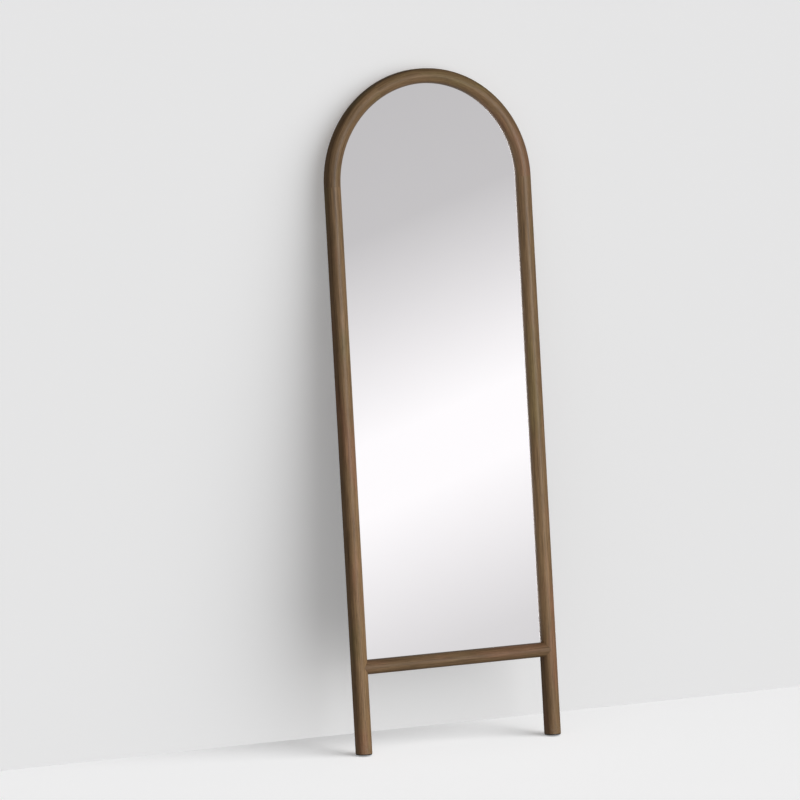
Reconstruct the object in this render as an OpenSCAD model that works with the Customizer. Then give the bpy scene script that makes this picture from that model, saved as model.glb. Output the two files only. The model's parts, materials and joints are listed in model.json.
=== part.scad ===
// Arched leaning floor mirror: a solid wood frame with two legs and one crossbar,
// mirror glass and back panel in rebates, clips, hangers, bumpers and foot pads.
// The frame is drawn upright in its own plane (X across, Y towards the wall, Z up
// along the stiles) and then leaned back, so that the model stands as it is used.

/* [Overall] */
// Overall width of the frame
frame_w = 610; // [560:5:760]
// Overall height along the frame, foot pads included
frame_h = 1829; // [1700:1:1950]
// How far the frame leans back from upright, in degrees
lean = 7.3; // [0:0.1:12]

/* [Frame members] */
// Width of the stiles and the arch, seen from the front
member_w = 40; // [38:1:44]
// Height of the crossbar, seen from the front
crossbar_w = 39; // [36:1:42]
// Depth of every member from front to back
member_d = 40; // [39:1:44]
// Radius of the two back corners of a member
back_corner_r = 4; // [3:0.5:9]
// Height of the crossbar's centre line
crossbar_z = 234; // [180:1:400]

/* [Rebates] */
// How far the glass sits behind the widest line of the rounded front
glass_setback = 4; // [3:0.5:6]
// Width of the ledge that holds the glass
glass_ledge = 10; // [9:0.5:11]
// Distance from the inner edge to the wall that holds the back panel
panel_ledge = 17; // [16:0.5:18]

/* [Glass and back] */
// Thickness of the mirror glass
glass_t = 4; // [3:0.5:4]
// Thickness of the double-sided mounting tape
tape_t = 1; // [0.8:0.1:1]
// Thickness of the back panel
panel_t = 6; // [5:0.5:6]
// Clearance around the glass and the panel
edge_gap = 0.75; // [0.5:0.05:1]

/* [Joinery] */
// Diameter of the wooden dowels
dowel_d = 8; // [6:1:8]
// Length of the wooden dowels
dowel_l = 50; // [40:1:52]

/* [Panel clips] */
// Clips along each stile
clips_per_stile = 4; // [2:1:5]
// Width of a clip
clip_w = 14; // [12:1:16]
// Thickness of the clip steel
clip_t = 1.2; // [1:0.1:1.4]

/* [Hangers and pads] */
// How far below the springing of the arch the hanger rings pivot
hanger_drop = 224; // [150:1:240]
// Diameter of the ring wire
ring_wire_d = 3; // [2.8:0.1:3.2]
// Thickness of the wall bumpers
bumper_t = 8; // [7:0.1:9]
// Thickness of the foot pads
pad_t = 2.5; // [2:0.5:4]

/* [Hidden] */
$fn = 96;
eps = 0.5;

// Wood, metal, glass and pad colours
walnut = [0.46, 0.36, 0.26];
dowel_tan = [0.80, 0.66, 0.46];
steel = [0.62, 0.63, 0.65];
silver = [0.86, 0.88, 0.90];
board = [0.20, 0.19, 0.18];
rubber = [0.10, 0.10, 0.10];

// Main lines of the frame. The front is a half round about the Y = 0 plane,
// so a member runs from -member_w / 2 to back_y.
nose_r = member_w / 2;
crossbar_nose_r = crossbar_w / 2;
back_y = member_d - nose_r;
arch_r = frame_w / 2 - nose_r;
arch_z = frame_h - frame_w / 2;
sight_half_w = arch_r - nose_r;
sight_z = crossbar_z + crossbar_nose_r;
hanger_z = arch_z - hanger_drop;

// Planes of the glass and the panel, counted towards the wall
glass_y = glass_setback;
tape_y = glass_y + glass_t;
panel_y = tape_y + tape_t;
panel_back_y = panel_y + panel_t;

// The wall of the panel rebate, and the floors of both rebates in the crossbar
panel_wall_x = sight_half_w + panel_ledge;
glass_floor_z = sight_z - glass_ledge;
panel_floor_z = sight_z - panel_ledge;

// The arch is three equal pieces
arch_piece_deg = 60;

// Two dowels a joint: one behind on the outside, one in front on the inside
dowel_spots = [[7, 7], [-5, -6]];
dowel_fit = 0.05;
dowel_hole_spare = 1;

// Places of the panel clips: on the stiles they start above the crossbar and end
// below the springing of the arch
clip_above_crossbar = 96;
clip_below_arch = 114;
clip_first_z = crossbar_z + clip_above_crossbar;
clip_last_z = arch_z - clip_below_arch;
clip_pitch = (clip_last_z - clip_first_z) / (clips_per_stile - 1);
clip_arch_deg = [36, 72, 108, 144];
clip_crossbar_x = 130;

// Shape of a clip, counted outwards from the panel rebate's wall
clip_foot = 12;
clip_nose = 13;
clip_gap = 0.2;
clip_screw_x = 6.5;
panel_recess = back_y - panel_back_y;

// Screws: [shank radius, head radius, head height, length under the head]
clip_screw = [1.7, 3.3, 2.2, 12];
hanger_screw = [2.0, 3.8, 2.6, 16];
screw_tip = 3;
screw_point_r = 0.2;
pilot_fit = 0.05;
plate_hole_fit = 0.2;
slot_w = 0.9;
slot_depth = 1.3;

// Hanger plate and D ring
plate_t = 1.2;
plate_w = 12.5;
plate_l = 46;
plate_screws = [24, 38];
hanger_offset = 4.5;
pin_fit = 0.06;
wire_r = ring_wire_d / 2;
knuckle_bore_r = wire_r + pin_fit;
knuckle_r = knuckle_bore_r + plate_t;
knuckle_lift = 0.04;
pivot_y = back_y + knuckle_lift + knuckle_r;
ring_half_w = 9.5;
ring_bend_r = 3;
ring_leg = 3;

// Wall bumpers, either side of the top of the arch and low on the legs
bumper_r = 6;
bumper_deg = 10;
leg_bumper_z = 60;
bumper_radius = arch_r + hanger_offset;

// Tape strips down the back of the glass, up into the arch
tape_w = 25;
tape_into_arch = 60;
tape_x = [-225, -80, 80, 225];
tape_bottom_z = 290;
tape_top_z = arch_z + tape_into_arch;

// Foot pads are the member's outline, a little smaller
pad_inset = 1;
pad_w = member_w - 2 * pad_inset;
pad_d = member_d - 2 * pad_inset;
pad_back_y = back_y - pad_inset;

// The leaned model's front and back limits, used to centre it over the origin
front_limit = pad_t * sin(lean) - nose_r * cos(lean);
bumper_top_z = arch_z + bumper_radius * cos(bumper_deg) + bumper_r;
back_limit = (back_y + bumper_t) * cos(lean) + bumper_top_z * sin(lean);

// Leans the upright frame back and sets it on the floor, over the origin
module stand() {
    translate([0, -(front_limit + back_limit) / 2, pad_back_y * sin(lean)])
    rotate([-lean, 0, 0])
    children();
}

// ---- Outlines: X counts outwards from the member's axis, Y towards the front ----

// A member's outline: half round in front, flat behind with rounded corners
module member_outline(w, d, corner) {
    r = w / 2;
    depth = d - r;
    circle(r = r);
    translate([-r, corner - depth]) square([w, depth - corner]);
    translate([corner - r, -depth]) square([w - 2 * corner, depth]);
    for (side = [-1, 1])
        translate([side * (r - corner), corner - depth])
        circle(r = corner);
}

// What the glass rebate or the panel rebate takes from the inner back corner
module rebate_outline(w, ledge, from_y) {
    translate([-w / 2 - eps, -back_y - eps])
    square([ledge + eps, back_y + eps - from_y]);
}

module rebated_outline(w, d) {
    difference() {
        member_outline(w, d, back_corner_r);
        rebate_outline(w, glass_ledge, glass_y);
        rebate_outline(w, panel_ledge, panel_y);
    }
}

// ---- Places ----

// Turns an outline that was extruded upwards so that it lies along X, outside down
module along_crossbar() {
    translate([0, 0, crossbar_z])
    mirror([0, 1, 0])
    rotate([0, 90, 0])
    children();
}

// A place on the arch, at an angle from the right-hand springing
module on_arch(angle) {
    translate([0, 0, arch_z])
    rotate([0, -angle, 0])
    children();
}

module stile_clip_places() {
    for (i = [0 : clips_per_stile - 1])
        translate([panel_wall_x, back_y, clip_first_z + i * clip_pitch])
        children();
}

module arch_clip_places(first_deg, last_deg) {
    for (angle = clip_arch_deg)
        if (angle > first_deg && angle < last_deg)
            on_arch(angle)
            translate([panel_wall_x, back_y, 0])
            children();
}

module crossbar_clip_places() {
    for (side = [-1, 1])
        translate([side * clip_crossbar_x, back_y, panel_floor_z])
        rotate([0, 90, 0])
        children();
}

module all_clip_places() {
    for (side = [0, 1])
        mirror([side, 0, 0])
        stile_clip_places() children();
    arch_clip_places(0, 180) children();
    crossbar_clip_places() children();
}

// The back of the right stile, at the hanger's pivot height
module hanger_place() {
    translate([arch_r + hanger_offset, back_y, hanger_z])
    children();
}

module hanger_screw_places() {
    hanger_place()
    for (drop = plate_screws)
        translate([0, plate_t, -drop])
        children();
}

// ---- Screws and their holes, pointing into the wood ----

module pilot_hole(screw) {
    translate([0, eps, 0])
    rotate([90, 0, 0])
    cylinder(r = screw[0] + pilot_fit, h = screw[3] + eps);
}

// A round head with a cross slot, a plain shank and a pointed end
module wood_screw(screw) {
    shank_r = screw[0];
    head_r = screw[1];
    head_h = screw[2];
    shank_l = screw[3] - screw_tip;
    dome_r = (head_r * head_r + head_h * head_h) / (2 * head_h);
    rotate([90, 0, 0]) {
        cylinder(r = shank_r, h = shank_l);
        translate([0, 0, shank_l]) cylinder(r1 = shank_r, r2 = screw_point_r, h = screw_tip - eps);
        difference() {
            intersection() {
                translate([0, 0, dome_r - head_h]) sphere(r = dome_r);
                translate([0, 0, -head_h]) cylinder(r = head_r, h = head_h);
            }
            for (turn = [0, 90])
                rotate([0, 0, turn])
                translate([-head_r / 2, -slot_w / 2, -head_h - eps])
                cube([head_r, slot_w, slot_depth + eps]);
        }
    }
}

// ---- Dowels ----

// Children drawn along Z are put at both dowel places of an arch joint
module arch_joint(angle) {
    on_arch(angle)
    for (spot = dowel_spots)
        translate([arch_r + spot[0], spot[1], 0])
        children();
}

// The same for a crossbar joint, on the right side
module crossbar_joint() {
    for (spot = dowel_spots)
        translate([sight_half_w, spot[1], crossbar_z - spot[0]])
        rotate([0, 90, 0])
        children();
}

module dowel() {
    cylinder(d = dowel_d, h = dowel_l, center = true);
}

module dowel_hole() {
    cylinder(r = dowel_d / 2 + dowel_fit, h = dowel_l + 2 * dowel_hole_spare, center = true);
}

// ---- Wooden frame ----

// The right stile with its leg, drawn upright
module stile_solid() {
    difference() {
        translate([arch_r, 0, pad_t])
        mirror([0, 1, 0])
        linear_extrude(arch_z - pad_t)
        member_outline(member_w, member_d, back_corner_r);
        translate([arch_r, 0, glass_floor_z])
        mirror([0, 1, 0])
        linear_extrude(arch_z)
        rebate_outline(member_w, glass_ledge, glass_y);
        translate([arch_r, 0, panel_floor_z])
        mirror([0, 1, 0])
        linear_extrude(arch_z)
        rebate_outline(member_w, panel_ledge, panel_y);
        arch_joint(0) dowel_hole();
        crossbar_joint() dowel_hole();
        stile_clip_places() translate([clip_screw_x, 0, 0]) pilot_hole(clip_screw);
        hanger_screw_places() translate([0, -plate_t, 0]) pilot_hole(hanger_screw);
    }
}

module right_stile() {
    color(walnut) stand() stile_solid();
}

module left_stile() {
    color(walnut) stand() mirror([1, 0, 0]) stile_solid();
}

// The crossbar's ends are coped to the rounded inner sides of the stiles
module crossbar() {
    color(walnut) stand()
    difference() {
        along_crossbar()
        linear_extrude(2 * arch_r, center = true)
        rebated_outline(crossbar_w, back_y + crossbar_nose_r);
        for (side = [0, 1])
            mirror([side, 0, 0]) {
                translate([arch_r, 0, crossbar_z - member_w])
                mirror([0, 1, 0])
                linear_extrude(2 * member_w)
                member_outline(member_w, member_d, back_corner_r);
                crossbar_joint() dowel_hole();
            }
        crossbar_clip_places() translate([clip_screw_x, 0, 0]) pilot_hole(clip_screw);
    }
}

// One piece of the arch, from one joint to the next
module arch_piece(first_deg) {
    last_deg = first_deg + arch_piece_deg;
    color(walnut) stand()
    difference() {
        translate([0, 0, arch_z])
        rotate([90, 0, 0])
        rotate_extrude(angle = arch_piece_deg, start = first_deg)
        translate([arch_r, 0])
        rebated_outline(member_w, member_d);
        arch_joint(first_deg) dowel_hole();
        arch_joint(last_deg) dowel_hole();
        arch_clip_places(first_deg, last_deg)
            translate([clip_screw_x, 0, 0]) pilot_hole(clip_screw);
    }
}

module arch_right() {
    arch_piece(0);
}

module arch_crown() {
    arch_piece(arch_piece_deg);
}

module arch_left() {
    arch_piece(2 * arch_piece_deg);
}

module arch_dowels() {
    color(dowel_tan) stand()
    for (angle = [0 : arch_piece_deg : 180])
        arch_joint(angle) dowel();
}

module crossbar_dowels() {
    color(dowel_tan) stand()
    for (side = [0, 1])
        mirror([side, 0, 0])
        crossbar_joint() dowel();
}

// ---- Glass, tape and back panel ----

// A flat sheet with a half-round top, its front at from_y
module arched_sheet(half_w, bottom_z, from_y, thickness) {
    translate([0, from_y + thickness, 0])
    rotate([90, 0, 0])
    linear_extrude(thickness) {
        translate([-half_w, bottom_z]) square([2 * half_w, arch_z - bottom_z]);
        translate([0, arch_z]) circle(r = half_w);
    }
}

module mirror_glass() {
    color(silver) stand()
    arched_sheet(sight_half_w + glass_ledge - edge_gap, glass_floor_z, glass_y, glass_t);
}

module mounting_tape() {
    color(rubber) stand()
    for (x = tape_x)
        translate([x - tape_w / 2, tape_y, tape_bottom_z])
        cube([tape_w, tape_t, tape_top_z - tape_bottom_z]);
}

module back_panel() {
    color(board) stand()
    arched_sheet(panel_wall_x - edge_gap, panel_floor_z + edge_gap, panel_y, panel_t);
}

// ---- Clips ----

// An offset clip: its foot lies on the frame's back, its nose holds the panel
module panel_clip() {
    difference() {
        linear_extrude(clip_w, center = true)
        polygon([
            [clip_foot, 0], [clip_foot, clip_t], [-clip_gap - clip_t, clip_t],
            [-clip_gap - clip_t, clip_t - panel_recess], [-clip_nose, clip_t - panel_recess],
            [-clip_nose, -panel_recess], [-clip_gap, -panel_recess], [-clip_gap, 0]
        ]);
        translate([clip_screw_x, clip_t + eps, 0])
        rotate([90, 0, 0])
        cylinder(r = clip_screw[0] + plate_hole_fit, h = clip_t + 2 * eps);
    }
}

module panel_clips() {
    color(steel) stand()
    all_clip_places() panel_clip();
}

module clip_screws() {
    color(steel) stand()
    all_clip_places()
        translate([clip_screw_x, clip_t, 0])
        wood_screw(clip_screw);
}

// ---- Hangers ----

// A strap that is rolled round the ring's bar, with two screw holes below
module hanger_plate_solid() {
    hanger_place()
    difference() {
        union() {
            translate([0, plate_t, 0])
            rotate([90, 0, 0])
            linear_extrude(plate_t) {
                translate([-plate_w / 2, plate_w / 2 - plate_l]) square([plate_w, plate_l - plate_w / 2]);
                translate([0, plate_w / 2 - plate_l]) circle(d = plate_w);
            }
            translate([0, pivot_y - back_y, 0])
            rotate([0, 90, 0])
            cylinder(r = knuckle_r, h = plate_w, center = true);
        }
        translate([0, pivot_y - back_y, 0])
        rotate([0, 90, 0])
        cylinder(r = knuckle_bore_r, h = plate_w + 2 * eps, center = true);
        for (drop = plate_screws)
            translate([0, plate_t + eps, -drop])
            rotate([90, 0, 0])
            cylinder(r = hanger_screw[0] + plate_hole_fit, h = plate_t + 2 * eps);
    }
}

// A D ring of round wire about its own bar, hanging straight down
module d_ring() {
    bar_l = 2 * (ring_half_w - ring_bend_r);
    rotate([0, 90, 0]) cylinder(r = wire_r, h = bar_l, center = true);
    for (side = [0, 1])
        mirror([side, 0, 0]) {
            translate([ring_half_w - ring_bend_r, 0, -ring_bend_r])
            rotate([90, 0, 0])
            rotate_extrude(angle = 90)
            translate([ring_bend_r, 0])
            circle(r = wire_r);
            translate([ring_half_w, 0, -ring_bend_r - ring_leg])
            cylinder(r = wire_r, h = ring_leg);
        }
    translate([0, 0, -ring_bend_r - ring_leg])
    rotate([90, 0, 0])
    rotate_extrude(angle = 180, start = 180)
    translate([ring_half_w, 0])
    circle(r = wire_r);
}

// Gravity holds the free ring upright although the frame leans
module hanger_ring_solid() {
    hanger_place()
    translate([0, pivot_y - back_y, 0])
    rotate([lean, 0, 0])
    d_ring();
}

module right_hanger_plate() {
    color(steel) stand() hanger_plate_solid();
}

module left_hanger_plate() {
    color(steel) stand() mirror([1, 0, 0]) hanger_plate_solid();
}

module right_hanger_ring() {
    color(steel) stand() hanger_ring_solid();
}

module left_hanger_ring() {
    color(steel) stand() mirror([1, 0, 0]) hanger_ring_solid();
}

module hanger_screws() {
    color(steel) stand()
    for (side = [0, 1])
        mirror([side, 0, 0])
        hanger_screw_places() wood_screw(hanger_screw);
}

// ---- Bumpers and pads ----

module bumper() {
    translate([0, back_y + bumper_t, 0])
    rotate([90, 0, 0])
    cylinder(r = bumper_r, h = bumper_t);
}

module wall_bumpers() {
    color(rubber) stand() {
        for (angle = [90 - bumper_deg, 90 + bumper_deg])
            on_arch(angle)
            translate([bumper_radius, 0, 0])
            bumper();
        for (side = [-1, 1])
            translate([side * arch_r, 0, leg_bumper_z])
            bumper();
    }
}

module foot_pad_solid() {
    translate([arch_r, 0, 0])
    mirror([0, 1, 0])
    linear_extrude(pad_t)
    member_outline(pad_w, pad_d, back_corner_r - pad_inset);
}

module right_foot_pad() {
    color(rubber) stand() foot_pad_solid();
}

module left_foot_pad() {
    color(rubber) stand() mirror([1, 0, 0]) foot_pad_solid();
}

left_stile();
right_stile();
crossbar();
arch_left();
arch_crown();
arch_right();
arch_dowels();
crossbar_dowels();
mirror_glass();
mounting_tape();
back_panel();
panel_clips();
clip_screws();
left_hanger_plate();
right_hanger_plate();
left_hanger_ring();
right_hanger_ring();
hanger_screws();
wall_bumpers();
left_foot_pad();
right_foot_pad();
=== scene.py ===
"""Looks of the arched leaning floor mirror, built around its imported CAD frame.

The wooden members and the panel clips are modelled here in mesh code, with eased edges
and bends, and stand for the plain CAD nodes. Everything is in metres.
"""

import json
import math

import bmesh
import bpy
from mathutils import Matrix, Vector


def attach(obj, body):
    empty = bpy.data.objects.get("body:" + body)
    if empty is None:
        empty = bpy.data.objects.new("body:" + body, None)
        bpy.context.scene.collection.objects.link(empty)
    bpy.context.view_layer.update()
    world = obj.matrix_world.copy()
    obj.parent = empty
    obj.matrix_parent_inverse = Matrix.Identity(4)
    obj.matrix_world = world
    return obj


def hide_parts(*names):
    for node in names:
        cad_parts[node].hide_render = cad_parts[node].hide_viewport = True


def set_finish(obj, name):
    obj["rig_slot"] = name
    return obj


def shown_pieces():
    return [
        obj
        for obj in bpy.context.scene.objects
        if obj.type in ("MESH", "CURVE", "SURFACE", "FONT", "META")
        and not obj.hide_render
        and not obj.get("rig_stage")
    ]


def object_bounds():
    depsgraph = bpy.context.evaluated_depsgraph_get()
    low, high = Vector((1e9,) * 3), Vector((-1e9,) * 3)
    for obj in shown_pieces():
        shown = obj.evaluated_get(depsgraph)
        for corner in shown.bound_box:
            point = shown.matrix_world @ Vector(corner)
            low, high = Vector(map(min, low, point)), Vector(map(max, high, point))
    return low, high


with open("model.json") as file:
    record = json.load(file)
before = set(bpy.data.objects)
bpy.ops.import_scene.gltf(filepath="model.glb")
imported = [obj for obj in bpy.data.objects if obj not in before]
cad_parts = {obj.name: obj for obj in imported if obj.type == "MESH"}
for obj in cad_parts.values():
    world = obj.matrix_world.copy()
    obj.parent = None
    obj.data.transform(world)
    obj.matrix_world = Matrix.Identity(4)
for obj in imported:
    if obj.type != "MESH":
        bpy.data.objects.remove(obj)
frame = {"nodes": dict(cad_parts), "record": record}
cad_low, cad_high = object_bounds()

MM = 0.001

# ---------------------------------------------------------------- camera

CAMERA_AZIMUTH = math.radians(-25.880)
CAMERA_ELEVATION = math.radians(9.254)
CAMERA_DISTANCE = 15.140
CAMERA_TARGET = Vector((-0.122638, 0.000556, 0.937649))
CAMERA_LENS = 253.458


def make_camera():
    back = Vector((
        math.sin(CAMERA_AZIMUTH) * math.cos(CAMERA_ELEVATION),
        -math.cos(CAMERA_AZIMUTH) * math.cos(CAMERA_ELEVATION),
        math.sin(CAMERA_ELEVATION),
    ))
    data = bpy.data.cameras.new("camera")
    data.lens = CAMERA_LENS
    data.sensor_width = 36
    data.clip_end = 200
    camera = bpy.data.objects.new("camera", data)
    camera.location = CAMERA_TARGET + back * CAMERA_DISTANCE
    camera.rotation_mode = "QUATERNION"
    camera.rotation_quaternion = (-back).to_track_quat("-Z", "Y")
    bpy.context.scene.collection.objects.link(camera)
    bpy.context.scene.camera = camera


# ---------------------------------------------------------------- the upright frame

# The mirror's own axes: X across, Y towards the wall, Z up along the stiles, with the
# origin between the two foot rests. UPRIGHT turns a point in them into the row frame.
mounts = {m["name"]: m for m in frame["record"]["mounts"]}
up = -Vector(mounts["left_foot_rest"]["axis"])
lean = math.atan2(up.y, up.z)
left_foot, right_foot = (Vector(mounts[side + "_foot_rest"]["pos_m"]) for side in ("left", "right"))
origin = (left_foot + right_foot) / 2
UPRIGHT = Matrix.Translation(origin) @ Matrix.Rotation(-lean, 4, "X")


def upright_box(node):
    """Lowest and highest corner of a CAD node, measured in the mirror's own axes."""
    inverse = UPRIGHT.inverted()
    points = [inverse @ v.co for v in frame["nodes"][node].data.vertices]
    low = Vector([min(p[i] for p in points) for i in range(3)])
    high = Vector([max(p[i] for p in points) for i in range(3)])
    return low, high


stile_low, stile_high = upright_box("right_stile")
bar_low, bar_high = upright_box("crossbar")
glass_low, glass_high = upright_box("mirror_glass")
panel_low, panel_high = upright_box("back_panel")

member_w = stile_high.x - stile_low.x
nose_r = member_w / 2
back_y = stile_high.y
arch_r = (stile_low.x + stile_high.x) / 2
arch_z = stile_high.z
foot_z = stile_low.z
bar_z = (bar_low.z + bar_high.z) / 2
bar_nose_r = (bar_high.z - bar_low.z) / 2
sight_half_w = arch_r - nose_r
glass_y = glass_low.y
panel_y = panel_low.y
EDGE_GAP = 0.75 * MM
glass_ledge = glass_high.x + EDGE_GAP - sight_half_w
panel_ledge = panel_high.x + EDGE_GAP - sight_half_w
BACK_CORNER_R = 4 * MM
EASED_EDGE = 0.6 * MM


# ---------------------------------------------------------------- node helpers


class Nodes:
    """Adds nodes to a tree in one call each and links their inputs by name."""

    def __init__(self, tree):
        self.tree = tree

    def add(self, kind, values=None, **settings):
        node = self.tree.nodes.new(kind)
        for key, value in settings.items():
            setattr(node, key, value)
        for key, value in (values or {}).items():
            socket = node.inputs[key]
            if isinstance(value, bpy.types.NodeSocket):
                self.tree.links.new(value, socket)
            else:
                socket.default_value = value
        return node

    def math(self, operation, *values, clamp=False):
        node = self.tree.nodes.new("ShaderNodeMath")
        node.operation = operation
        node.use_clamp = clamp
        for socket, value in zip(node.inputs, values):
            if isinstance(value, bpy.types.NodeSocket):
                self.tree.links.new(value, socket)
            else:
                socket.default_value = value
        return node.outputs[0]

    def vector(self, x, y, z):
        return self.add("ShaderNodeCombineXYZ", {0: x, 1: y, 2: z}).outputs[0]

    def noise(self, vector, scale, detail=4.0, roughness=0.55, distortion=0.0):
        values = {
            "Vector": vector, "Scale": scale, "Detail": detail,
            "Roughness": roughness, "Distortion": distortion,
        }
        return self.add("ShaderNodeTexNoise", values).outputs["Fac"]

    def ramp(self, factor, stops):
        node = self.add("ShaderNodeValToRGB", {0: factor})
        elements = node.color_ramp.elements
        while len(elements) < len(stops):
            elements.new(0.5)
        for element, (place, colour) in zip(elements, stops):
            element.position = place
            element.color = (*colour, 1)
        return node.outputs["Color"]

    def fade(self, value, start, end, low=0.0, high=1.0):
        """Goes smoothly from low to high as value goes from start to end."""
        values = {
            "Value": value, "From Min": start, "From Max": end, "To Min": low, "To Max": high,
        }
        return self.add("ShaderNodeMapRange", values, interpolation_type="SMOOTHSTEP").outputs[0]

    def mix(self, factor, a, b, blend="MIX"):
        node = self.add("ShaderNodeMix", data_type="RGBA", blend_type=blend)
        for key, value in ((0, factor), (6, a), (7, b)):
            socket = node.inputs[key]
            if isinstance(value, bpy.types.NodeSocket):
                self.tree.links.new(value, socket)
            elif key == 0:
                socket.default_value = value
            else:
                socket.default_value = (*value, 1)
        return node.outputs[2]


def new_material(name):
    material = bpy.data.materials.new(name)
    material.use_nodes = True
    tree = material.node_tree
    tree.nodes.clear()
    nodes = Nodes(tree)
    shader = nodes.add("ShaderNodeBsdfPrincipled")
    output = nodes.add("ShaderNodeOutputMaterial")
    tree.links.new(shader.outputs[0], output.inputs["Surface"])
    return material, nodes, shader


def link(nodes, value, shader, name):
    nodes.tree.links.new(value, shader.inputs[name])


def bump(nodes, height, distance, strength, shader):
    values = {"Height": height, "Distance": distance, "Strength": strength}
    link(nodes, nodes.add("ShaderNodeBump", values).outputs[0], shader, "Normal")


def own_axes(nodes):
    """Position on the mirror in its own upright axes, as three sockets."""
    place = nodes.add("ShaderNodeTexCoord").outputs["Object"]
    offset = {0: place, 1: tuple(origin)}
    moved = nodes.add("ShaderNodeVectorMath", offset, operation="SUBTRACT").outputs[0]
    turn = {"Vector": moved, "Axis": (1, 0, 0), "Angle": lean}
    turned = nodes.add("ShaderNodeVectorRotate", turn).outputs[0]
    split = nodes.add("ShaderNodeSeparateXYZ", {0: turned})
    return split.outputs[0], split.outputs[1], split.outputs[2]


def distance_from_middle(nodes, x, rise):
    """How far a point is from the arch's centre, rise being its height above it."""
    squares = nodes.math("ADD", nodes.math("POWER", rise, 2), nodes.math("POWER", x, 2))
    return nodes.math("POWER", squares, 0.5)


# ---------------------------------------------------------------- materials

WALNUT_DARK = (0.084, 0.047, 0.022)
WALNUT_MID = (0.178, 0.109, 0.053)
WALNUT_LIGHT = (0.268, 0.176, 0.092)
WALNUT_RED = (0.216, 0.106, 0.060)
WALNUT_OLIVE = (0.158, 0.117, 0.046)


def walnut(name, run, seed, tone):
    """Satin-lacquered walnut. The grain runs along "z", "x" or the "arch"; tone is painted light
    and
    shade: how much lighter or darker the piece is painted low down and high up, where 1 is the
    palette as it stands."""
    material, nodes, shader = new_material(name)
    x, y, z = own_axes(nodes)
    if run == "z":
        along, across = z, x
    elif run == "x":
        along, across = x, z
    else:
        rise = nodes.math("SUBTRACT", z, arch_z)
        angle = nodes.math("ARCTAN2", rise, x)
        along = nodes.math("MULTIPLY", angle, arch_r)
        across = nodes.math("SUBTRACT", distance_from_middle(nodes, x, rise), arch_r)
    along = nodes.math("ADD", along, 1.7 * seed)
    across = nodes.math("ADD", across, 0.31 * seed)

    def stretched(length):
        """The wood's own coordinates with the grain drawn out that many times."""
        return nodes.vector(nodes.math("DIVIDE", along, length), across, y)

    sway = nodes.noise(stretched(6), 9, detail=2)
    swayed = nodes.math("MULTIPLY_ADD", sway, 0.02, across)
    rings_place = nodes.vector(nodes.math("DIVIDE", along, 26), swayed, y)
    rings = nodes.noise(rings_place, 150, detail=5, roughness=0.6)
    broad = nodes.noise(stretched(9), 26, detail=3)
    fibres = nodes.noise(stretched(30), 900, detail=3, roughness=0.7)
    pores = nodes.noise(stretched(22), 1500, detail=2, roughness=0.5)
    pore_mask = nodes.fade(pores, 0.60, 0.72)

    figure = nodes.math("MULTIPLY_ADD", rings, 0.62, nodes.math("MULTIPLY", broad, 0.38))
    base = nodes.ramp(figure, [
        (0.30, WALNUT_DARK), (0.46, WALNUT_MID), (0.56, WALNUT_MID), (0.74, WALNUT_LIGHT),
    ])
    hue = nodes.noise(stretched(4), 13, detail=3, roughness=0.6)
    red = nodes.mix(nodes.fade(hue, 0.52, 0.68, 0.0, 0.6), base, WALNUT_RED)
    tinted = nodes.mix(nodes.fade(hue, 0.46, 0.32, 0.0, 0.6), red, WALNUT_OLIVE)
    streaks = nodes.noise(stretched(34), 360, detail=3, roughness=0.6)
    streak_tones = nodes.ramp(streaks, [(0.32, (0.66, 0.64, 0.60)), (0.68, (1.32, 1.33, 1.36))])
    streaked = nodes.mix(0.9, tinted, streak_tones, "MULTIPLY")
    fibre_tones = nodes.ramp(fibres, [(0.3, (0.66, 0.64, 0.62)), (0.7, (1.3, 1.3, 1.3))])
    fine = nodes.mix(0.55, streaked, fibre_tones, "MULTIPLY")
    pored = nodes.mix(nodes.math("MULTIPLY", pore_mask, 0.55), fine, (0.030, 0.017, 0.009))

    scuffs = nodes.noise(nodes.vector(x, y, z), 160, detail=4, roughness=0.7)
    near_floor = nodes.fade(z, 0.055, 0.004)
    scuffed = nodes.math("MULTIPLY", near_floor, nodes.fade(scuffs, 0.47, 0.62), clamp=True)
    worn = nodes.mix(nodes.math("MULTIPLY", scuffed, 0.5), pored, (0.205, 0.150, 0.098))
    # Painted light and shade: the colour is scaled lighter or darker from low to high on each
    # piece, for how the light falls on that member.
    painted_light_and_shade = nodes.fade(z, 0.30, 1.50, tone[0], tone[1])
    link(nodes, nodes.mix(1.0, worn, painted_light_and_shade, "MULTIPLY"), shader, "Base Color")

    dull = nodes.math("MULTIPLY_ADD", fibres, 0.16, 0.36)
    dull = nodes.math("MULTIPLY_ADD", pore_mask, 0.18, dull)
    dull = nodes.math("MULTIPLY_ADD", scuffed, 0.2, dull)
    link(nodes, dull, shader, "Roughness")
    shader.inputs["Specular IOR Level"].default_value = 0.3

    raised = nodes.math("MULTIPLY", fibres, 0.5)
    height = nodes.math("SUBTRACT", raised, nodes.math("MULTIPLY", pore_mask, 0.8))
    bump(nodes, height, 0.12 * MM, 0.5, shader)
    return material


def silvered_glass():
    """Mirror glass: a bright front, a thin dark line where the silver ends."""
    material, nodes, shader = new_material("silvered_glass")
    x, y, z = own_axes(nodes)
    rise = nodes.math("MAXIMUM", nodes.math("SUBTRACT", z, arch_z), 0.0)
    reach = distance_from_middle(nodes, x, rise)
    edge = nodes.fade(reach, glass_high.x - 4 * MM, glass_high.x - 1 * MM)
    haze = nodes.noise(nodes.vector(x, y, z), 3.5, detail=5, roughness=0.65)
    colour = nodes.mix(haze, (0.938, 0.916, 0.934), (0.958, 0.936, 0.954))
    colour = nodes.mix(nodes.math("MULTIPLY", edge, 0.8), colour, (0.10, 0.13, 0.12))
    link(nodes, colour, shader, "Base Color")
    shader.inputs["Metallic"].default_value = 1.0
    link(nodes, nodes.fade(haze, 0.3, 0.75, 0.004, 0.016), shader, "Roughness")
    return material


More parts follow.
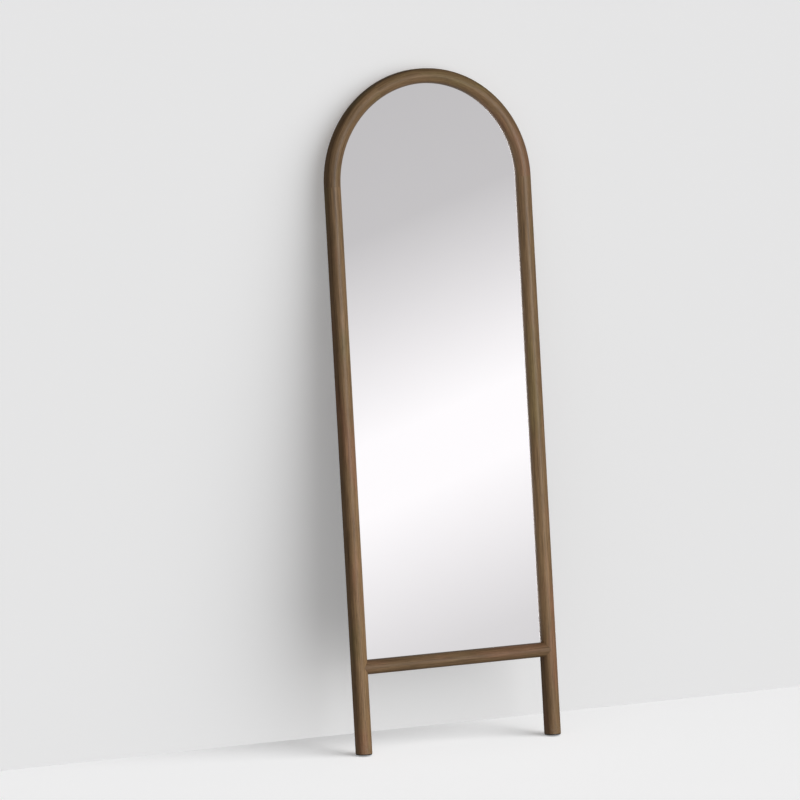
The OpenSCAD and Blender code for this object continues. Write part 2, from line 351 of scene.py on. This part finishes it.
def back_board():
    """Fibreboard with a matt black coat, a little rubbed."""
    material, nodes, shader = new_material("back_board")
    x, y, z = own_axes(nodes)
    place = nodes.vector(x, y, z)
    cloud = nodes.noise(place, 7, detail=5, roughness=0.6)
    drawn = nodes.vector(nodes.math("MULTIPLY", x, 3.0), y, z)
    fibre = nodes.noise(drawn, 420, detail=5, roughness=0.75)
    base = nodes.mix(cloud, (0.020, 0.019, 0.018), (0.040, 0.037, 0.034))
    speck = nodes.math("MULTIPLY", nodes.fade(fibre, 0.60, 0.72), nodes.fade(cloud, 0.45, 0.65))
    rubbed = nodes.mix(nodes.math("MULTIPLY", speck, 0.5), base, (0.115, 0.085, 0.058))
    link(nodes, rubbed, shader, "Base Color")
    link(nodes, nodes.math("MULTIPLY_ADD", cloud, 0.2, 0.62), shader, "Roughness")
    bump(nodes, fibre, 0.25 * MM, 0.45, shader)
    return material


def zinc_steel():
    """Bright zinc-plated steel with a drawn surface and a few duller patches."""
    material, nodes, shader = new_material("zinc_steel")
    place = nodes.add("ShaderNodeTexCoord").outputs["Object"]
    split = nodes.add("ShaderNodeSeparateXYZ", {0: place})
    x, y, z = split.outputs[:3]
    drawn = nodes.vector(x, y, nodes.math("MULTIPLY", z, 0.06))
    lines = nodes.noise(drawn, 2600, detail=3, roughness=0.6)
    patch = nodes.noise(place, 90, detail=4, roughness=0.65)
    base = nodes.mix(patch, (0.54, 0.545, 0.56), (0.70, 0.70, 0.685))
    lined = nodes.mix(nodes.math("MULTIPLY", lines, 0.25), base, (0.42, 0.42, 0.41))
    link(nodes, lined, shader, "Base Color")
    shader.inputs["Metallic"].default_value = 1.0
    rough = nodes.math("MULTIPLY_ADD", patch, 0.22, 0.20)
    link(nodes, nodes.math("MULTIPLY_ADD", lines, 0.10, rough), shader, "Roughness")
    bump(nodes, lines, 0.02 * MM, 0.4, shader)
    return material


def black_rubber():
    """Moulded black rubber, gritty and a little dusty."""
    material, nodes, shader = new_material("black_rubber")
    place = nodes.add("ShaderNodeTexCoord").outputs["Object"]
    grit = nodes.noise(place, 1400, detail=4, roughness=0.7)
    dust = nodes.noise(place, 130, detail=4, roughness=0.65)
    base = nodes.mix(nodes.fade(dust, 0.45, 0.75), (0.018, 0.018, 0.019), (0.060, 0.058, 0.055))
    link(nodes, base, shader, "Base Color")
    link(nodes, nodes.math("MULTIPLY_ADD", dust, 0.2, 0.66), shader, "Roughness")
    bump(nodes, grit, 0.08 * MM, 0.6, shader)
    return material


def beech():
    """Unfinished beech with its darker flecks."""
    material, nodes, shader = new_material("beech_dowel")
    x, y, z = own_axes(nodes)
    fleck = nodes.noise(nodes.vector(nodes.math("MULTIPLY", x, 0.1), y, z), 1200, detail=3)
    tone = nodes.noise(nodes.vector(x, y, z), 60, detail=3)
    base = nodes.mix(tone, (0.52, 0.34, 0.19), (0.66, 0.46, 0.28))
    flecked = nodes.mix(nodes.fade(fleck, 0.55, 0.7, 0.0, 0.5), base, (0.34, 0.20, 0.11))
    link(nodes, flecked, shader, "Base Color")
    link(nodes, nodes.math("MULTIPLY_ADD", fleck, 0.2, 0.5), shader, "Roughness")
    bump(nodes, fleck, 0.1 * MM, 0.5, shader)
    return material


def foam():
    """Dark closed-cell foam."""
    material, nodes, shader = new_material("foam_tape")
    place = nodes.add("ShaderNodeTexCoord").outputs["Object"]
    voronoi = nodes.add("ShaderNodeTexVoronoi", {"Vector": place, "Scale": 1800.0})
    cells = voronoi.outputs["Distance"]
    base = nodes.mix(nodes.fade(cells, 0.1, 0.7), (0.012, 0.012, 0.013), (0.050, 0.050, 0.052))
    link(nodes, base, shader, "Base Color")
    link(nodes, nodes.fade(cells, 0.0, 0.8, 0.95, 0.78), shader, "Roughness")
    bump(nodes, cells, 0.1 * MM, 0.6, shader)
    return material


# ---------------------------------------------------------------- mesh helpers


def arc(centre, radius, start, end, steps):
    """Points of an arc, angles in degrees, both ends included."""
    found = []
    for i in range(steps + 1):
        angle = math.radians(start + (end - start) * i / steps)
        found.append((centre[0] + radius * math.cos(angle), centre[1] + radius * math.sin(angle)))
    return found


def back_corner(half_w, side, start):
    """The rounded back corner on that side, +1 being outwards."""
    centre = (side * (half_w - BACK_CORNER_R), back_y - BACK_CORNER_R)
    return arc(centre, BACK_CORNER_R, start, start + 90, 8)


def outline(half_w):
    """A member's full outline: (outwards, towards the wall), the front a half round."""
    front = arc((0, 0), half_w, 180, 360, 40)
    return front + back_corner(half_w, 1, 0) + back_corner(half_w, -1, 90)


def rebated_outline(half_w):
    """The same outline with the glass and panel rebates out of its inner back corner."""
    return arc((0, 0), half_w, 180, 360, 40) + back_corner(half_w, 1, 0) + [
        (panel_ledge - half_w, back_y), (panel_ledge - half_w, panel_y),
        (glass_ledge - half_w, panel_y), (glass_ledge - half_w, glass_y),
        (-half_w, glass_y),
    ]


def loft(rings):
    """A closed solid through rings of points, all of the same length, with flat ends."""
    mesh = bmesh.new()
    loops = [[mesh.verts.new(p) for p in ring] for ring in rings]
    count = len(loops[0])
    for a, b in zip(loops, loops[1:]):
        for i in range(count):
            j = (i + 1) % count
            mesh.faces.new((a[i], a[j], b[j], b[i]))
    mesh.faces.new(list(reversed(loops[0])))
    mesh.faces.new(loops[-1])
    bmesh.ops.recalc_face_normals(mesh, faces=mesh.faces)
    return mesh


def box_mesh(low, high):
    ring = [(low[0], low[1]), (high[0], low[1]), (high[0], high[1]), (low[0], high[1])]
    return loft([[(x, y, z) for x, y in ring] for z in (low[2], high[2])])


def new_object(name, mesh):
    data = bpy.data.meshes.new(name)
    mesh.to_mesh(data)
    mesh.free()
    made = bpy.data.objects.new(name, data)
    bpy.context.scene.collection.objects.link(made)
    return made


def apply_modifiers(made):
    """Bakes an object's modifiers into its mesh."""
    evaluated = made.evaluated_get(bpy.context.evaluated_depsgraph_get())
    data = bpy.data.meshes.new_from_object(evaluated)
    old = made.data
    made.modifiers.clear()
    made.data = data
    data.name = made.name
    bpy.data.meshes.remove(old)


def cut(made, cutter_mesh):
    cutter = new_object("cutter", cutter_mesh)
    modifier = made.modifiers.new("cut", "BOOLEAN")
    modifier.operation = "DIFFERENCE"
    modifier.solver = "EXACT"
    modifier.object = cutter
    apply_modifiers(made)
    bpy.data.objects.remove(cutter)


def ease_edges(made, width, chosen, angle=38):
    """Rounds the edges sharper than angle whose two ends both satisfy chosen."""
    mesh = bmesh.new()
    mesh.from_mesh(made.data)
    limit = math.radians(angle)
    sharp = [
        e for e in mesh.edges
        if len(e.link_faces) == 2 and e.calc_face_angle() > limit
        and all(chosen(v.co) for v in e.verts)
    ]
    bmesh.ops.bevel(
        mesh, geom=sharp, offset=width, segments=2, profile=0.5, affect="EDGES",
        clamp_overlap=True,
    )
    mesh.to_mesh(made.data)
    mesh.free()


def on_back(point):
    return point.y > back_y - 0.01 * MM


def settle(made, material, slot_name, node):
    """Leans a piece drawn in upright axes into place; it stands for that node of the frame."""
    made.data.transform(UPRIGHT)
    made.data.materials.clear()
    made.data.materials.append(material)
    made.data.shade_smooth()
    made.data.set_sharp_from_angle(angle=math.radians(35))
    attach(made, "frame")
    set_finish(made, slot_name)
    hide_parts(node)


# ---------------------------------------------------------------- wooden members


def upright_ring(points, side, z):
    return [(side * (arch_r + a), b, z) for a, b in points]


def stile(name, side, seed, tone):
    full = outline(nose_r)
    made = new_object(name, loft([upright_ring(full, side, z) for z in (foot_z, arch_z)]))
    spare = 2 * MM
    inner = sight_half_w - spare
    top = arch_z + spare
    for ledge, from_y, floor_z in (
        (panel_ledge, panel_y, panel_low.z - EDGE_GAP),
        (glass_ledge, glass_y, glass_low.z),
    ):
        ends = sorted((side * inner, side * (sight_half_w + ledge)))
        cut(made, box_mesh((ends[0], from_y, floor_z), (ends[1], back_y + spare, top)))
    ease_edges(made, EASED_EDGE, lambda p: p.z < foot_z + 0.01 * MM)
    ease_edges(made, EASED_EDGE / 2, lambda p: on_back(p) and foot_z + 1 * MM < p.z)
    settle(made, walnut("walnut_" + name, "z", seed, tone), "walnut", name)


def crossbar(name, seed, tone):
    section = rebated_outline(bar_nose_r)

    def ring(x):
        return [(x, b, bar_z - a) for a, b in section]

    made = new_object(name, loft([ring(x) for x in (-arch_r, arch_r)]))
    full = outline(nose_r)
    for side in (-1, 1):
        cut(made, loft([upright_ring(full, side, bar_z + d) for d in (-member_w, member_w)]))
    settle(made, walnut("walnut_" + name, "x", seed, tone), "walnut", name)


# Degrees
ARCH_PIECE_ANGLE = 60
ARCH_STEP = 1.25


def arch_piece(name, first, seed, tone):
    """A third of the arch, from one joint to the next, angles from the right springing."""
    section = rebated_outline(nose_r)
    last = first + ARCH_PIECE_ANGLE
    steps = round((last - first) / ARCH_STEP)
    rings = []
    for i in range(steps + 1):
        angle = math.radians(first + (last - first) * i / steps)
        c, s = math.cos(angle), math.sin(angle)
        rings.append([((arch_r + a) * c, b, arch_z + (arch_r + a) * s) for a, b in section])
    made = new_object(name, loft(rings))
    settle(made, walnut("walnut_" + name, "arch", seed, tone), "walnut", name)


# ---------------------------------------------------------------- panel clips

CLIP_T = 1.2 * MM
CLIP_FOOT = 12 * MM
CLIP_NOSE = 13 * MM
CLIP_GAP = 0.2 * MM
CLIP_BEND = 0.6 * MM
CLIP_HALF_W = 7 * MM
CLIP_STILE_Z = [0.330, 0.690, 1.050, 1.410]
CLIP_ARCH_DEG = [36, 72, 108, 144]
CLIP_BAR_X = 0.130


def clip_outline():
    """A strip bent twice: (outwards from the panel's edge, back from the frame's back)."""
    drop = panel_high.y - back_y
    tight, wide = CLIP_BEND, CLIP_BEND + CLIP_T
    upper = (tight - CLIP_GAP, -tight)
    lower = (-CLIP_GAP - wide, drop + wide)
    points = [(CLIP_FOOT, CLIP_T)]
    points += arc(upper, wide, 90, 180, 6)
    points += arc(lower, tight, 0, -90, 6)
    points += [(-CLIP_NOSE, drop + CLIP_T), (-CLIP_NOSE, drop)]
    points += arc(lower, wide, -90, 0, 6)
    points += arc(upper, tight, 180, 90, 6)
    points.append((CLIP_FOOT, 0))
    return points


def clip_places():
    """Where each clip sits on the panel's edge, and its outward and width directions."""
    edge = sight_half_w + panel_ledge
    found = []
    for side in (-1, 1):
        found += [((side * edge, z), (side, 0)) for z in CLIP_STILE_Z]
        found.append(((side * CLIP_BAR_X, bar_z + bar_nose_r - panel_ledge), (0, -1)))
    for angle in CLIP_ARCH_DEG:
        c, s = math.cos(math.radians(angle)), math.sin(math.radians(angle))
        found.append(((edge * c, arch_z + edge * s), (c, s)))
    return found


def panel_clips(material):
    section = clip_outline()
    mesh = bmesh.new()
    for (x, z), (ox, oz) in clip_places():
        rings = [
            [(x + a * ox - w * oz, back_y + b, z + a * oz + w * ox) for a, b in section]
            for w in (-CLIP_HALF_W, CLIP_HALF_W)
        ]
        one = loft(rings)
        data = bpy.data.meshes.new("one_clip")
        one.to_mesh(data)
        one.free()
        mesh.from_mesh(data)
        bpy.data.meshes.remove(data)
    made = new_object("panel_clips", mesh)
    ease_edges(made, 0.2 * MM, lambda p: True, angle=60)
    settle(made, material, "zinc_steel", "panel_clips")


# ---------------------------------------------------------------- CAD nodes that stay


def finish_node(node, material):
    made = frame["nodes"][node]
    made.data.materials.clear()
    made.data.materials.append(material)


def soften_node(node, width):
    """Eases a CAD node's sharp edges with modifiers."""
    made = frame["nodes"][node]
    weld = made.modifiers.new("weld", "WELD")
    weld.merge_threshold = 0.005 * MM
    ease = made.modifiers.new("ease", "BEVEL")
    ease.width = width
    ease.segments = 2
    ease.limit_method = "ANGLE"
    ease.angle_limit = math.radians(50)


# ---------------------------------------------------------------- stage and light


def stage_material(name, colour, see_through_behind=False, glow=0.0):
    material, nodes, shader = new_material(name)
    shader.inputs["Base Color"].default_value = (*colour, 1)
    shader.inputs["Emission Color"].default_value = (1, 1, 1, 1)
    shader.inputs["Emission Strength"].default_value = glow
    shader.inputs["Roughness"].default_value = 0.9
    shader.inputs["Specular IOR Level"].default_value = 0.2
    if see_through_behind:
        behind = nodes.add("ShaderNodeNewGeometry").outputs["Backfacing"]
        clear = nodes.add("ShaderNodeBsdfTransparent").outputs[0]
        mixed = nodes.add("ShaderNodeMixShader", {0: behind, 1: shader.outputs[0], 2: clear})
        output = next(n for n in nodes.tree.nodes if n.type == "OUTPUT_MATERIAL")
        nodes.tree.links.new(mixed.outputs[0], output.inputs["Surface"])
    return material


def plane(name, corners, material):
    mesh = bmesh.new()
    mesh.faces.new([mesh.verts.new(c) for c in corners])
    made = new_object(name, mesh)
    made.data.materials.append(material)
    made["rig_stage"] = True
    return made


WALL_CLEARANCE = 0.5 * MM


def make_stage():
    reach = 60
    floor = plane(
        "floor", [(-reach, -reach, 0), (reach, -reach, 0), (reach, reach, 0), (-reach, reach, 0)],
        stage_material("floor", (0.90, 0.90, 0.905), glow=0.24),
    )
    floor.visible_diffuse = False
    floor.visible_glossy = False
    floor.visible_shadow = False
    wall_y = cad_high.y + WALL_CLEARANCE
    wall = plane(
        "wall", [(-9, wall_y, 0), (9, wall_y, 0), (9, wall_y, 9), (-9, wall_y, 9)],
        stage_material("wall", (0.83, 0.83, 0.835), see_through_behind=True, glow=0.225),
    )
    for ray in ("diffuse", "glossy", "transmission", "shadow", "volume_scatter"):
        setattr(wall, "visible_" + ray, False)
    return [floor, wall]


def direction(azimuth, elevation):
    """Unit vector towards a light: azimuth 0 is in front, positive is to the right."""
    a, e = math.radians(azimuth), math.radians(elevation)
    return Vector((math.sin(a) * math.cos(e), -math.cos(a) * math.cos(e), math.sin(e)))


# How bright each part of the studio is, where 1 is a white card in full light
ABOVE = 0.42
BELOW = 0.14
BELOW_MIRRORED = 0.52
BEHIND = 0.10
PALE_BACKGROUND = 0.80
CARD_TOP = math.sin(math.radians(7.12))
CARD_MIDDLE, CARD_SLOPE = 0.4346, 0.36
CARD_SHADES = [(0.03, 0.64), (0.19, 0.74), (0.42, 1.05), (0.52, 1.05), (0.81, 0.59), (1.0, 0.56)]


def make_world():
    """An even dome over a graded card that stands low in front; the mirror shows both. Only
    the rays that it or the lacquer reflects forwards find the floor's brightness below."""
    world = bpy.data.worlds.new("studio")
    bpy.context.scene.world = world
    world.use_nodes = True
    tree = world.node_tree
    tree.nodes.clear()
    nodes = Nodes(tree)
    ray = nodes.add("ShaderNodeTexCoord").outputs["Generated"]
    split = nodes.add("ShaderNodeSeparateXYZ", {0: ray})
    across, depth, rise = split.outputs[0], split.outputs[1], split.outputs[2]
    slope = nodes.math("MULTIPLY", nodes.math("SUBTRACT", across, CARD_MIDDLE), CARD_SLOPE)
    place = nodes.math("DIVIDE", nodes.math("SUBTRACT", rise, slope), CARD_TOP)
    card = nodes.ramp(place, [(p, (v, v, v)) for p, v in CARD_SHADES])
    above_card = nodes.fade(rise, CARD_TOP, 0.30)
    front = nodes.mix(above_card, card, (ABOVE, ABOVE, ABOVE))
    in_front = nodes.fade(depth, 0.0, -0.45)
    around = nodes.mix(in_front, (BEHIND, BEHIND, BEHIND), front)
    path = nodes.add("ShaderNodeLightPath").outputs
    mirrored = nodes.math("MULTIPLY", path["Is Glossy Ray"], in_front)
    below = nodes.math("MULTIPLY_ADD", mirrored, BELOW_MIRRORED - BELOW, BELOW)
    lit = nodes.mix(nodes.fade(rise, 0.0, -0.02), around, below)
    seen = nodes.mix(path["Is Camera Ray"], lit, (PALE_BACKGROUND,) * 3)
    background = nodes.add("ShaderNodeBackground", {"Color": seen, "Strength": 1.0})
    output = nodes.add("ShaderNodeOutputWorld")
    tree.links.new(background.outputs[0], output.inputs["Surface"])


def shine_only_on(light, receivers):
    bpy.context.scene.collection.objects.link(light)
    lit = bpy.data.collections.new(light.name + "_lights")
    for piece in receivers:
        lit.objects.link(piece)
    light.light_linking.receiver_collection = lit


def soft_light(
    name, azimuth, elevation, softness, share, receivers, sheen=True, body=True, colour=(1, 1, 1),
):
    """A distant light, softness degrees wide, on the given objects: body colour, sheen or both."""
    data = bpy.data.lights.new(name, "SUN")
    data.angle = math.radians(softness)
    data.energy = math.pi * share
    data.color = colour
    made = bpy.data.objects.new(name, data)
    made.rotation_mode = "QUATERNION"
    made.rotation_quaternion = direction(azimuth, elevation).to_track_quat("Z", "Y")
    made.visible_glossy = sheen
    made.visible_diffuse = body
    shine_only_on(made, receivers)


def glass_bounce(power, receivers):
    """A strip of light along the glass that stands for its glow on a member beside it."""
    low, high = bar_z + bar_nose_r + 20 * MM, arch_z + 250 * MM
    data = bpy.data.lights.new("glass_bounce", "AREA")
    data.shape = "RECTANGLE"
    data.size = 20 * MM
    data.size_y = high - low
    data.energy = power
    made = bpy.data.objects.new("glass_bounce", data)
    place = Matrix.Translation((sight_half_w - 90 * MM, -55 * MM, (low + high) / 2))
    facing_right = Matrix(((0, 0, -1, 0), (-1, 0, 0, 0), (0, 1, 0, 0), (0, 0, 0, 1)))
    made.matrix_world = UPRIGHT @ place @ facing_right
    made.visible_camera = False
    made.visible_glossy = False
    shine_only_on(made, receivers)


# ---------------------------------------------------------------- build

make_camera()

# The last pair on each member is painted light and shade: how much lighter or darker it is painted
# low down and high up.
stile("left_stile", -1, 1, (1.18, 0.93))
stile("right_stile", 1, 2, (1.02, 0.86))
crossbar("crossbar", 3, (0.78, 0.78))
arch_piece("arch_right", 0, 4, (0.80, 0.80))
arch_piece("arch_crown", 60, 5, (0.76, 0.76))
arch_piece("arch_left", 120, 6, (0.86, 0.86))

steel = zinc_steel()
rubber = black_rubber()
wood_pins = beech()
panel_clips(steel)
for node in ("clip_screws", "hanger_screws", "left_hanger_ring", "right_hanger_ring"):
    finish_node(node, steel)
for node in ("left_hanger_plate", "right_hanger_plate"):
    finish_node(node, steel)
    soften_node(node, 0.15 * MM)
for node in ("wall_bumpers", "left_foot_pad", "right_foot_pad"):
    finish_node(node, rubber)
    soften_node(node, 0.5 * MM)
for node in ("arch_dowels", "crossbar_dowels"):
    finish_node(node, wood_pins)
finish_node("mounting_tape", foam())
finish_node("back_panel", back_board())
finish_node("mirror_glass", silvered_glass())

stage = make_stage()
make_world()
solid_pieces = [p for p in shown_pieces() if p is not frame["nodes"]["mirror_glass"]]
wooden = [p for p in solid_pieces if p.get("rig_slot") == "walnut"]
hardware = [p for p in solid_pieces if p not in wooden]
facing_arch = [p for p in wooden if p.name.startswith(("arch_right", "arch_crown"))]
right_stile = [p for p in wooden if p.name.startswith("right_stile")]
soft_light("key", 26, 10, 24, 0.85, solid_pieces, sheen=False)
soft_light("glint", 3, 5, 30, 0.52, wooden, body=False)
soft_light("arch_bounce", -62, -22, 50, 0.44, facing_arch, sheen=False)
glass_bounce(0.36, right_stile)
soft_light("left_fill", -85, 0, 50, 0.08, wooden, sheen=False, colour=(1.0, 0.84, 0.66))
soft_light("back_fill", 154, 0, 30, 0.80, solid_pieces, sheen=False)
soft_light("back_glint", 160, 14, 40, 0.80, hardware, body=False)
soft_light("wall_key", 36, 10, 80, 0.47, stage)
soft_light("floor_key", 50, 35, 50, 0.60, stage[:1])
bpy.context.scene.view_settings.view_transform = "Standard"
bpy.context.scene.view_settings.look = "None"
